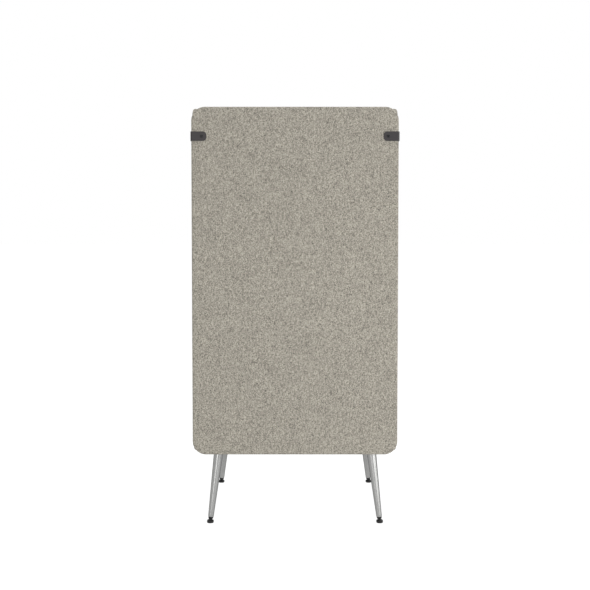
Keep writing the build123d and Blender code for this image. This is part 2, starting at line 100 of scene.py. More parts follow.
class ShaderGraph:
    """The shader nodes of one material or world, added and linked in order."""

    def __init__(self, owner: bpy.types.Material | bpy.types.World) -> None:
        """Start with no nodes.

        Args:
            owner: what the nodes belong to.
        """
        owner.use_nodes = True
        self.tree = owner.node_tree
        self.tree.nodes.clear()

    def add(self, kind: str, inputs: Mapping[str | int, object] | None = None, **settings: object) -> bpy.types.Node:
        """Add a node.

        Args:
            kind: the node's type, without its common prefix.
            inputs: a value or another node's socket for each named or numbered input.
            **settings: the node's own settings.

        Returns:
            The node.
        """
        made = self.tree.nodes.new("ShaderNode" + kind)
        for key, value in settings.items():
            setattr(made, key, value)
        for key, value in (inputs or {}).items():
            if isinstance(value, Socket):
                self.tree.links.new(value, made.inputs[key])
            else:
                made.inputs[key].default_value = value
        return made

    def where(self, kind: str = "Object") -> Socket:
        """The place on the piece in metres, or with Normal the way that its surface faces."""
        return self.add("TexCoord").outputs[kind]

    def math(self, operation: str, *values: object) -> Socket:
        """Work out one number from numbers or sockets."""
        return self.add("Math", dict(enumerate(values)), operation=operation).outputs[0]

    def mix(self, share: object, low: object, high: object) -> Socket:
        """Mix two numbers by a share."""
        return self.add("Mix", {0: share, 2: low, 3: high}, data_type="FLOAT").outputs[0]

    def mix_colour(self, share: object, low: object, high: object) -> Socket:
        """Mix two colours by a share."""
        return self.add("Mix", {0: share, 6: low, 7: high}, data_type="RGBA").outputs[2]

    def ramp(self, value: object, low: float, high: float, bottom: float = 0.0) -> Socket:
        """Map a value between low and high to one between the bottom and 1."""
        return self.add("MapRange", {0: value, 1: low, 2: high, 3: bottom, 4: 1.0}).outputs[0]

    def parts(self, value: object) -> Sequence[Socket]:
        """Take a place or a direction apart."""
        return self.add("SeparateXYZ", {0: value}).outputs

    def spot(self, u: object, v: object, w: object = 0.0) -> Socket:
        """Join three numbers to a place."""
        return self.add("CombineXYZ", {0: u, 1: v, 2: w}).outputs[0]

    def vector(self, operation: str, inputs: Mapping[str | int, object]) -> Socket:
        """Work out one place."""
        return self.add("VectorMath", inputs, operation=operation).outputs[0]

    def stretched(self, place: Socket, scale: Sequence[float]) -> Socket:
        """Scale a place along each axis."""
        return self.vector("MULTIPLY", {0: place, 1: tuple(scale)})

    def grain(self, place: Socket, detail: float = 0.0, scale: float = 1.0) -> Socket:
        """Smooth noise from 0 to 1, with so many finer octaves and so many cells per metre."""
        return self.add("TexNoise", {"Vector": place, "Scale": scale, "Detail": detail, "Roughness": 0.5}).outputs[0]

    def cells(self, scale: float, randomness: float = 1.0) -> Socket:
        """Distance from the middle of each cell, with so many cells per metre."""
        inputs = {"Vector": self.where(), "Scale": scale, "Randomness": randomness}
        return self.add("TexVoronoi", inputs).outputs["Distance"]

    def swing(self, value: object, reach: float, middle: float = 0.0) -> Socket:
        """Make a 0 to 1 value swing by a reach to each side of a middle."""
        return self.math("MULTIPLY_ADD", value, 2 * reach, middle - reach)

    def bump(self, height: object, depth: float, strength: float) -> Socket:
        """Turn a 0 to 1 height of some depth into a normal that shows part of it."""
        return self.add("Bump", {"Height": height, "Distance": depth, "Strength": strength}).outputs[0]

    def surface(self, inputs: Mapping[str, object]) -> None:
        """End the graph in one surface shader."""
        self.add("OutputMaterial", {"Surface": self.add("BsdfPrincipled", inputs).outputs[0]})


def toned(colour: Colour, share: float) -> Colour:
    """A colour made lighter or darker by a share."""
    return tuple(share * part for part in colour[:3]) + (1.0,)


made_materials: dict[str, bpy.types.Material] = {}


@dataclass(frozen=True)
class Finish:
    """A finish that makes one material."""

    name: str

    def lay(self, graph: ShaderGraph) -> None:
        """Add the finish's nodes."""
        raise NotImplementedError

    def material(self) -> bpy.types.Material:
        """Make the finish's material the first time and keep it.

        Returns:
            The material.
        """
        if self.name not in made_materials:
            made_materials[self.name] = bpy.data.materials.new(self.name)
            self.lay(ShaderGraph(made_materials[self.name]))
        return made_materials[self.name]

    def dress(self, thing: Piece) -> None:
        """Put the finish on every slot of a piece.

        Args:
            thing: the piece.
        """
        if not thing.material_slots:
            thing.data.materials.append(self.material())
        for place in thing.material_slots:
            place.link = "OBJECT"
            place.material = self.material()


# Finishes


@dataclass(frozen=True)
class HeatherWeave(Finish):
    """A plain weave of wool yarns, each blended from light and dark fibres, with painted shade in the gaps between
    them.

    The steps and seeds are plain offsets that tell one yarn, face or direction from the next.
    """

    colour: Colour = (0.383, 0.357, 0.303, 1.0)
    yarn_pitch: float = 2.7 * MM
    blend_length: float = 7.0 * MM
    fibre_length: float = 2.6 * MM
    fibre_width: float = 0.34 * MM
    twist: float = 0.45
    mottle_size: float = 70 * MM
    mottle_stretch: float = 0.8
    mottle_seed: float = 1.7
    yarn_reach: float = 1.12
    fibre_reach: float = 0.45
    mottle_reach: float = 0.085
    # painted shade between the yarns: the share of the colour left in the gaps, and the crown heights where the
    # darkening starts and ends
    painted_gap_shade: float = 0.5
    gap_level: float = 0.1
    open_level: float = 0.75
    wander: float = 1.1 * MM
    wander_size: float = 9 * MM
    rise: float = 0.35
    roundness: float = 4.5
    edge_height: float = 0.866
    relief: float = 1.0 * MM
    relief_shown: float = 0.5
    fibre_height: float = 0.35
    row_step: float = 5.618
    start_step: float = 3.37
    side_seed: float = 3.7
    top_seed: float = 8.3
    warp_seed: float = 31.6

    def _yarns(self, graph: ShaderGraph, along: object, number: object, seed: object) -> Socket:
        """The tone of one direction's yarns, which changes along each yarn and from yarn to yarn."""
        start, row = (graph.math("MULTIPLY", number, step) for step in (self.start_step, self.row_step))
        return graph.grain(graph.spot(graph.math("MULTIPLY_ADD", along, 1 / self.blend_length, start), row, seed))

    def _fibres(self, graph: ShaderGraph, along: object, across: object, seed: object) -> Socket:
        """The tone of the twisted fibres on one direction's yarns."""
        place = graph.spot(along, graph.math("MULTIPLY_ADD", along, self.twist, across), seed)
        return graph.grain(graph.stretched(place, (1 / self.fibre_length, 1 / self.fibre_width, 1.0)), 1.0)

    def _crown(self, graph: ShaderGraph, along: object, across: object, number: object, rise: float) -> Socket:
        """The height of one direction's round yarns as they go over and under the other's.

        Args:
            graph: the material.
            along: the place along the yarn, in yarns.
            across: the place across it, in yarns.
            number: the yarn's number.
            rise: how far it rises and dips, with the sign that tells the two directions apart.

        Returns:
            The height.
        """
        phase = graph.math("MULTIPLY", graph.math("SUBTRACT", along, graph.math("ADD", number, 0.5)), pi)
        wave = graph.math("MULTIPLY", graph.math("COSINE", phase), rise)
        off = graph.math("SUBTRACT", graph.math("FRACT", across), 0.5)
        section = graph.math("SQRT", graph.math("SUBTRACT", 1.0, graph.math("MULTIPLY", off, off)))
        return graph.math("MULTIPLY_ADD", graph.math("SUBTRACT", section, self.edge_height), self.roundness, wave)

    def lay(self, graph: ShaderGraph) -> None:
        """Lay the weave on each face, with its yarns along the face's own two axes.

        Args:
            graph: the material.
        """
        where = graph.where()
        drift = graph.add("TexNoise", {"Vector": where, "Scale": 1 / self.wander_size, "Detail": 0.0}).outputs[1]
        off = graph.vector("SUBTRACT", {0: drift, 1: (0.5, 0.5, 0.5)})
        off = graph.vector("SCALE", {0: off, "Scale": 2 * self.wander})
        x, y, z = graph.parts(graph.vector("ADD", {0: where, 1: off}))
        lean = [graph.math("ABSOLUTE", part) for part in graph.parts(graph.where("Normal"))]
        on_side = graph.math("GREATER_THAN", lean[0], graph.math("MAXIMUM", lean[1], lean[2]))
        on_top = graph.math("GREATER_THAN", lean[2], graph.math("MAXIMUM", lean[0], lean[1]))
        u, v = graph.mix(on_side, x, y), graph.mix(on_top, z, y)
        face = graph.math("MULTIPLY_ADD", on_side, self.side_seed, graph.math("MULTIPLY", on_top, self.top_seed))
        other = graph.math("ADD", face, self.warp_seed)

        columns, rows = (graph.math("MULTIPLY", part, 1 / self.yarn_pitch) for part in (u, v))
        column, row = graph.math("FLOOR", columns), graph.math("FLOOR", rows)
        weft_crown = self._crown(graph, columns, rows, row, self.rise)
        warp_crown = self._crown(graph, rows, columns, column, -self.rise)
        weft_over = graph.math("GREATER_THAN", weft_crown, warp_crown)
        crown = graph.math("MAXIMUM", weft_crown, warp_crown)
        yarn = graph.mix(weft_over, self._yarns(graph, v, column, other), self._yarns(graph, u, row, face))
        fibre = graph.mix(weft_over, self._fibres(graph, v, u, other), self._fibres(graph, u, v, face))
        mottle_scale = (self.mottle_stretch / self.mottle_size, 1 / self.mottle_size, self.mottle_seed)
        mottle = graph.grain(graph.stretched(graph.spot(u, v, face), mottle_scale), 2.0)

        shade = graph.swing(yarn, self.yarn_reach, 1.0)
        shade = graph.math("ADD", shade, graph.swing(fibre, self.fibre_reach))
        shade = graph.math("ADD", shade, graph.swing(mottle, self.mottle_reach))
        # painted shade: the colour darkens where the yarns dip into the gaps between them
        shade = graph.math("MULTIPLY", shade, graph.ramp(crown, self.gap_level, self.open_level, self.painted_gap_shade))
        height = graph.math("MULTIPLY_ADD", fibre, self.fibre_height, crown)
        graph.surface({
            "Base Color": graph.vector("SCALE", {0: self.colour[:3], "Scale": shade}),
            "Roughness": 0.92,
            "Specular IOR Level": 0.22,
            "Sheen Weight": 0.08,
            "Sheen Roughness": 0.6,
            "Normal": graph.bump(height, self.relief, self.relief_shown),
        })


@dataclass(frozen=True)
class PowderCoat(Finish):
    """A fine-textured powder coat."""

    colour: Colour = (0.035, 0.0315, 0.0325, 1.0)
    dark: float = 0.9
    light: float = 1.16
    roughness: float = 0.52
    roughness_reach: float = 0.08
    cloud_scale: float = 40.0
    cloud_share: float = 0.5
    pebble_size: float = 0.9 * MM
    pebble_depth: float = 0.06 * MM
    pebble_shown: float = 0.6

    def lay(self, graph: ShaderGraph) -> None:
        """Add the coat's nodes.

        Args:
            graph: the material.
        """
        pebble = graph.grain(graph.where(), 1.0, 1 / self.pebble_size)
        cloud = graph.grain(graph.where(), 2.0, self.cloud_scale)
        tone = graph.mix(self.cloud_share, cloud, pebble)
        graph.surface({
            "Base Color": graph.mix_colour(tone, toned(self.colour, self.dark), toned(self.colour, self.light)),
            "Roughness": graph.swing(cloud, self.roughness_reach, self.roughness),
            "Specular IOR Level": 0.3,
            "Normal": graph.bump(pebble, self.pebble_depth, self.pebble_shown),
        })


@dataclass(frozen=True)
class FineGrain(Finish):
    """A dark finish of steel, plastic or rubber, with a faint cloud in its tone and a fine grain."""

    colour: Colour
    roughness: float
    gloss: float = 0.22
    light: float = 1.7
    cloud_scale: float = 260.0
    grain_scale: float = 1500.0
    grain_depth: float = 0.02 * MM
    grain_shown: float = 0.5
    roughness_reach: float = 0.08

    def lay(self, graph: ShaderGraph) -> None:
        """Add the finish's nodes.

        Args:
            graph: the material.
        """
        cloud = graph.grain(graph.where(), 2.0, self.cloud_scale)
        grain = graph.grain(graph.where(), 1.0, self.grain_scale)
        graph.surface({
            "Base Color": graph.mix_colour(cloud, self.colour, toned(self.colour, self.light)),
            "Roughness": graph.swing(cloud, self.roughness_reach, self.roughness),
            "Specular IOR Level": self.gloss,
            "Normal": graph.bump(grain, self.grain_depth, self.grain_shown),
        })


@dataclass(frozen=True)
class BrightSteel(Finish):
    """Plain or zinc-plated steel with a fine random grain."""

    colour: Colour = (0.56, 0.55, 0.53, 1.0)
    roughness: float = 0.34
    roughness_reach: float = 0.09
    dark: float = 0.8
    cloud_scale: float = 90.0
    scratch_scale: tuple[float, float, float] = (1500.0, 60.0, 1500.0)
    scratch_depth: float = 0.02 * MM
    scratch_shown: float = 0.4

    def lay(self, graph: ShaderGraph) -> None:
        """Add the steel's nodes.

        Args:
            graph: the material.
        """
        cloud = graph.grain(graph.where(), 3.0, self.cloud_scale)
        scratch = graph.grain(graph.stretched(graph.where(), self.scratch_scale), 1.0)
        graph.surface({
            "Base Color": graph.mix_colour(cloud, toned(self.colour, self.dark), self.colour),
            "Metallic": 1.0,
            "Roughness": graph.swing(scratch, self.roughness_reach, self.roughness),
            "Normal": graph.bump(scratch, self.scratch_depth, self.scratch_shown),
        })


@dataclass(frozen=True)
class BrushedTube(Finish):
    """Satin aluminium, brushed along a leg."""

    axis: tuple[float, float, float] = (0.0, 0.0, 1.0)
    colour: Colour = (0.30, 0.30, 0.295, 1.0)
    edge_tone: Colour = (0.10, 0.10, 0.10, 1.0)
    dark: float = 0.84
    light: float = 1.14
    roughness: float = 0.3
    roughness_reach: float = 0.05
    line_scale: tuple[float, float, float] = (1400.0, 1400.0, 10.0)
    cloud_scale: tuple[float, float, float] = (30.0, 30.0, 8.0)
    cloud_share: float = 0.35
    line_levels: Pair = (0.3, 0.7)
    line_depth: float = 0.03 * MM
    line_shown: float = 0.35

    def lay(self, graph: ShaderGraph) -> None:
        """Add the tube's nodes.

        Args:
            graph: the material.
        """
        turn = Vector(self.axis).rotation_difference(Vector((0, 0, 1))).to_euler()
        local = graph.add("Mapping", {"Vector": graph.where(), "Rotation": turn}).outputs[0]
        streak = graph.ramp(graph.grain(graph.stretched(local, self.line_scale), 2.0), *self.line_levels)
        cloud = graph.grain(graph.stretched(local, self.cloud_scale), 2.0)
        tone = graph.mix(self.cloud_share, streak, cloud)
        graph.surface({
            "Base Color": graph.mix_colour(tone, toned(self.colour, self.dark), toned(self.colour, self.light)),
            "Metallic": 1.0,
            "Specular Tint": self.edge_tone,
            "Roughness": graph.swing(streak, self.roughness_reach, self.roughness),
            "Normal": graph.bump(streak, self.line_depth, self.line_shown),
        })


@dataclass(frozen=True)
class BirchBoard(Finish):
    """Birch plywood: grain on its faces and its layers on its edges."""

    layers: Layers = Layers.Z
    colour: Colour = (0.60, 0.43, 0.25, 1.0)
    dark: float = 0.66
    light: float = 1.18
    layer_depth: float = 1.45 * MM
    layer_levels: Pair = (-0.25, 0.25)
    face_lean: float = 0.7
    fibre_on_face: float = 0.45
    fibre_on_edge: float = 0.3
    ring_scale: float = 9.0
    ring_scale_along: float = 1.1
    fibre_fineness: float = 12.0
    fibre_depth: float = 0.12 * MM
    fibre_shown: float = 0.5

    def lay(self, graph: ShaderGraph) -> None:
        """Add the board's nodes.

        Args:
            graph: the material.
        """
        where = graph.where()
        through = self.layers.value
        lean = graph.math("ABSOLUTE", graph.parts(graph.where("Normal"))[through])
        scale = [self.ring_scale] * 3
        scale[0 if self.layers is not Layers.X else 1] = self.ring_scale_along
        fibre = graph.grain(graph.stretched(where, [self.fibre_fineness * part for part in scale]), 4.0)
        rings = graph.grain(graph.stretched(where, scale), 3.0)
        wave = graph.math("SINE", graph.math("MULTIPLY", graph.parts(where)[through], pi / self.layer_depth))
        dark, light = toned(self.colour, self.dark), toned(self.colour, self.light)
        face_tone = graph.mix_colour(graph.mix(self.fibre_on_face, rings, fibre), dark, light)
        layer = graph.ramp(wave, *self.layer_levels)
        edge_tone = graph.mix_colour(graph.mix(self.fibre_on_edge, layer, fibre), dark, light)
        graph.surface({
            "Base Color": graph.mix_colour(graph.math("GREATER_THAN", lean, self.face_lean), edge_tone, face_tone),
            "Roughness": 0.62,
            "Specular IOR Level": 0.3,
            "Normal": graph.bump(fibre, self.fibre_depth, self.fibre_shown),
        })


@dataclass(frozen=True)
class CutFoam(Finish):
    """Cut open-cell foam, with painted shade in its pores."""

    colour: Colour = (0.72, 0.66, 0.48, 1.0)
    # painted shade: how dark the colour gets in the middle of each pore
    dark: float = 0.75
    cell_scale: float = 900.0
    cell_depth: float = 0.5 * MM
    cell_shown: float = 0.7

    def lay(self, graph: ShaderGraph) -> None:
        """Add the foam's nodes.

        Args:
            graph: the material.
        """
        cell = graph.cells(self.cell_scale)
        graph.surface({
            # painted shade: the colour darkens toward the middle of each cell, where the bump dips into a pore
            "Base Color": graph.mix_colour(cell, toned(self.colour, self.dark), self.colour),
            "Roughness": 0.95,
            "Specular IOR Level": 0.1,
            "Normal": graph.bump(cell, self.cell_depth, self.cell_shown),
        })


@dataclass(frozen=True)
class DustCloth(Finish):
    """Black bonded cloth with its small pressed dots."""

    colour: Colour = (0.018, 0.018, 0.019, 1.0)
    light: float = 2.6
    dot_scale: float = 420.0
    dot_randomness: float = 0.25
    fibre_scale: float = 350.0
    depth: float = 0.15 * MM
    depth_shown: float = 0.6

    def lay(self, graph: ShaderGraph) -> None:
        """Add the cloth's nodes.

        Args:
            graph: the material.
        """
        dot = graph.cells(self.dot_scale, self.dot_randomness)
        fibre = graph.grain(graph.where(), 3.0, self.fibre_scale)
        tone = graph.math("MULTIPLY", fibre, dot)
        graph.surface({
            "Base Color": graph.mix_colour(tone, self.colour, toned(self.colour, self.light)),
            "Roughness": 0.85,
            "Specular IOR Level": 0.25,
            "Normal": graph.bump(graph.math("ADD", dot, fibre), self.depth, self.depth_shown),
        })


SCREEN_CLOTH = HeatherWeave("screen_cloth")
CUSHION_CLOTH = HeatherWeave("cushion_cloth", mottle_reach=0.1)
CHARCOAL_COAT = PowderCoat("charcoal_coat")
BLACK_SCREWS = FineGrain("black_screws", (0.010, 0.010, 0.011, 1.0), 0.3)
GLIDE_STEEL = FineGrain("glide_steel", (0.014, 0.014, 0.015, 1.0), 0.42)
GLIDE_PLASTIC = FineGrain("glide_plastic", (0.012, 0.012, 0.012, 1.0), 0.5, 0.25, 1.6, 120.0, 1700.0, 0.03 * MM)
GLIDE_RUBBER = FineGrain("glide_rubber", (0.010, 0.010, 0.010, 1.0), 0.75, 0.25, 1.6, 120.0, 1700.0, 0.03 * MM)
ZINC_SCREWS = BrightSteel("zinc_screws")
PLATE_STEEL = BrightSteel("plate_steel", (0.38, 0.38, 0.375, 1.0), 0.42)
FOAM = CutFoam("foam")
DUST_CLOTH = DustCloth("dust_cloth")
BOARDS = {layers: BirchBoard(f"board_{layers.name.lower()}", layers) for layers in Layers}


# Mesh helpers


def joint_box(*nodes: str) -> tuple[Vector, Vector]:
    """The lowest and the highest corner of the box round several nodes of the frame."""
    lows, highs = zip(*(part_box(node) for node in nodes))
    return Vector([min(parts) for parts in zip(*lows)]), Vector([max(parts) for parts in zip(*highs)])


def moved(start: Vector, *shifts: tuple[int, float]) -> Vector:
    """Move a point along some of its axes.

    Args:
        start: the point.
        *shifts: an axis and how far, for each.

    Returns:
        The moved point.
    """
    made = start.copy()
    for axis, shift in shifts:
        made[axis] += shift
    return made


def turns(sides: int) -> list[float]:
    """The angles round a full turn."""
    return [tau * k / sides for k in range(sides)]


def quarter(steps: int) -> list[float]:
    """The angles of a quarter turn in so many steps."""
    return [pi / 2 * step / steps for step in range(steps + 1)]


def bridge(first: Sequence[int], second: Sequence[int]) -> list[Quad]:
    """Faces between two rings of as many points."""
    count = len(first)
    return [(first[k], first[(k + 1) % count], second[(k + 1) % count], second[k]) for k in range(count)]


@dataclass
class RoundedSheet:
    """A flat grid of faces inside a rectangle with round corners."""

    width: float
    height: float
    corner: float
    cell: float

    def __post_init__(self) -> None:
        """Lay out the grid, its rim and the way outward at each point of the rim."""
        columns, rows = self._lines(self.width), self._lines(self.height)
        self.points = [self._bent(a, b) for b in rows for a in columns]
        wide, high = len(columns), len(rows)
        self.faces = [
            (start, start + 1, start + wide + 1, start + wide)
            for row in range(high - 1)
            for start in range(row * wide, row * wide + wide - 1)
        ]
        self.rim = (
            [column for column in range(wide - 1)]
            + [row * wide + wide - 1 for row in range(high - 1)]
            + [(high - 1) * wide + column for column in range(wide - 1, 0, -1)]
            + [row * wide for row in range(high - 1, 0, -1)]
        )
        self.outward = [self._away(*self.points[place]) for place in self.rim]

    def _lines(self, length: float) -> list[float]:
        """Divide one side of the grid.

        Args:
            length: the side's length.

        Returns:
            The places of the grid's lines, with a line at each corner's start.
        """
        half, inner = length / 2, length / 2 - self.corner
        corner_steps = max(5, round(self.corner / self.cell))
        middle_steps = max(2, round(2 * inner / self.cell))
        near = [-half + self.corner * step / corner_steps for step in range(corner_steps)]
        middle = [-inner + 2 * inner * step / middle_steps for step in range(middle_steps)]
        return near + middle + [inner] + [-place for place in reversed(near)]

    def _bent(self, a: float, b: float) -> Pair:
        """Move a grid point of a corner's square into the corner's quarter disc.

        Args:
            a: the point's place across.
            b: its place up.

        Returns:
            Its new place, across and up.
        """
        inner_a, inner_b = self.width / 2 - self.corner, self.height / 2 - self.corner
        if abs(a) <= inner_a or abs(b) <= inner_b:
            return a, b
        p, q = (abs(a) - inner_a) / self.corner, (abs(b) - inner_b) / self.corner
        bent_a = inner_a + self.corner * p * sqrt(1 - q * q / 2)
        bent_b = inner_b + self.corner * q * sqrt(1 - p * p / 2)
        return copysign(bent_a, a), copysign(bent_b, b)

    def _away(self, a: float, b: float) -> Pair:
        """Find the way outward at a point of the rim.

        Args:
            a: the point's place across.
            b: its place up.

        Returns:
            The direction, one unit long.
        """
        over_a = max(abs(a) - (self.width / 2 - self.corner), 0.0)
        over_b = max(abs(b) - (self.height / 2 - self.corner), 0.0)
        if over_a > 0 and over_b > 0:
            length = hypot(over_a, over_b)
            return copysign(over_a / length, a), copysign(over_b / length, b)
        if abs(abs(a) - self.width / 2) < abs(abs(b) - self.height / 2):
            return copysign(1.0, a), 0.0
        return 0.0, copysign(1.0, b)

    def rim_steps(self) -> list[float]:
        """Measure along the rim.

        Returns:
            How far round it each of its points lies.
        """
        gone, steps = 0.0, []
        for k, place in enumerate(self.rim):
            steps.append(gone)
            a, b = self.points[place]
            c, d = self.points[self.rim[(k + 1) % len(self.rim)]]
            gone += hypot(c - a, d - b)
        return steps


@dataclass
class Skin:
    """A closed skin, built up from rings of points and from sheets at its two ends."""

    points: list[Vector] = field(default_factory=list)
    faces: list[Sequence[int]] = field(default_factory=list)
    rings: list[Sequence[int]] = field(default_factory=list)

    def ring(self, made: Iterable[Vector]) -> None:
        """Add a ring and join it to the one before it.

        Args:
            made: the ring's points.
        """
        start = len(self.points)
        self.points += made
        self.rings.append(range(start, len(self.points)))
        if len(self.rings) > 1:
            self.faces += bridge(*self.rings[-2:])

    def lay(self, sheet: RoundedSheet, made: Iterable[Vector]) -> None:
        """Start the skin with a sheet, or end it with one.

        Args:
            sheet: the sheet.
            made: a point for each of the sheet's.
        """
        start = len(self.points)
        self.points += made
        rim = [start + k for k in sheet.rim]
        if self.rings:
            self.faces += bridge(self.rings[-1], rim) + [tuple(start + k for k in face) for face in sheet.faces]
        else:
            self.faces += [tuple(reversed(face)) for face in sheet.faces]
        self.rings.append(rim)

    def cap(self) -> None:
        """Close both ends with a face."""
        self.faces += [self.rings[0], self.rings[-1]]

    def piece(self, name: str, finish: Finish) -> Piece:
        """Make the skin a smooth piece in the scene.

        Args:
            name: the piece's name.
            finish: its finish.

        Returns:
            The piece.
        """
        mesh = bpy.data.meshes.new(name)
        mesh.from_pydata([tuple(point) for point in self.points], [], [tuple(face) for face in self.faces])
        work = bmesh.new()
        work.from_mesh(mesh)
        bmesh.ops.recalc_face_normals(work, faces=work.faces)
        work.to_mesh(mesh)
        work.free()
        mesh.shade_smooth()
        made = bpy.data.objects.new(name, mesh)
        bpy.context.scene.collection.objects.link(made)
        finish.dress(made)
        return made


# Sub-assemblies


@dataclass
class UpholsteredScreen:
    """One screen's sewn cover over its foam: two faces, rounded edges and a seam round the middle of the edge."""

    screen: Screen
    corner_radius: float = 52 * MM
    edge_round: float = 8 * MM
    cell: float = 9 * MM
    round_steps: int = 6
    band_shares: tuple[float, ...] = (0.72, 0.48, 0.3, 0.18, 0.09, 0.035)
    seam_depth: float = 0.95 * MM
    seam_width: float = 1.5 * MM
    pucker_depth: float = 0.35 * MM
    pucker_reach: float = 6.5 * MM
    pucker_pitch: float = 38 * MM
    pucker_drift: float = 9.0
    face_wave: float = 0.5 * MM
    face_wave_length: float = 190 * MM
    face_wave_rim: float = 60 * MM
    face_seed: float = 3.0
    seed: float = 0.0

    def __post_init__(self) -> None:
        """Read the cover's box from the frame and lay out its flat face."""
        self.halves = [f"{self.screen.label}_screen_cover_{half}" for half in ("outer", "inner")]
        low, high = joint_box(*self.halves)
        self.middle, size = (low + high) / 2, high - low
        self.half = size[self.screen.through] / 2
        width, height = size[self.screen.across] - 2 * self.edge_round, size.z - 2 * self.edge_round
        self.sheet = RoundedSheet(width, height, self.corner_radius - self.edge_round, self.cell)

    def _place(self, a: float, b: float, c: float) -> Vector:
        """A point from its place along, up and through the screen."""
        return moved(self.middle, (self.screen.across, a), (2, b), (self.screen.through, c))

    def _face(self, side: int) -> list[Vector]:
        """Lay out one of the two faces, a little slack away from its rim.

        Args:
            side: 1 or -1, the way through the screen that it faces.

        Returns:
            Its points.
        """
        made = []
        for a, b in self.sheet.points:
            rim = min(self.sheet.width / 2 - abs(a), self.sheet.height / 2 - abs(b))
            wave = noise.noise(Vector((a, b, side * self.face_seed + self.seed)) / self.face_wave_length)
            slack = self.face_wave * min(1.0, max(0.0, rim / self.face_wave_rim)) * (0.5 - 0.5 * wave)
            made.append(self._place(a, b, side * (self.half - slack)))
        return made

    def _edge(self) -> list[Pair]:
        """Round the edge from face to face.

        Returns:
            How far out and how deep each ring lies.
        """
        angles, corner = quarter(self.round_steps)[1:], self.edge_round
        near = [(corner * sin(turn), self.half - corner * (1 - cos(turn))) for turn in angles]
        near += [(corner, (self.half - corner) * share) for share in self.band_shares]
        return near + [(corner, 0.0)] + [(out, -deep) for out, deep in reversed(near)]

    def build(self) -> Piece:
        """Make the cover.

        Returns:
            The piece, riding on the booth in place of the cover's two halves.
        """
        skin, sheet = Skin(), self.sheet
        skin.lay(sheet, self._face(1))
        round_rim = list(zip([sheet.points[k] for k in sheet.rim], sheet.outward, sheet.rim_steps()))
        for out, deep in self._edge():
            groove = self.seam_depth * exp(-((deep / self.seam_width) ** 2))
            fade = exp(-((deep / self.pucker_reach) ** 2))
            ring = []
            for (a, b), (away_a, away_b), step in round_rim:
                phase = noise.noise(Vector((a * self.pucker_drift, b * self.pucker_drift, self.seed)))
                pucker = self.pucker_depth * fade * (0.5 - 0.5 * cos(tau * (step / self.pucker_pitch + phase)))
                reach = out - groove - pucker
                ring.append(self._place(a + away_a * reach, b + away_b * reach, deep))
            skin.ring(ring)
        skin.lay(sheet, self._face(-1))

        cover = skin.piece(f"{self.screen.label}_screen_upholstery", SCREEN_CLOTH)
        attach(cover, "root")
        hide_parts(*self.halves)
        return cover


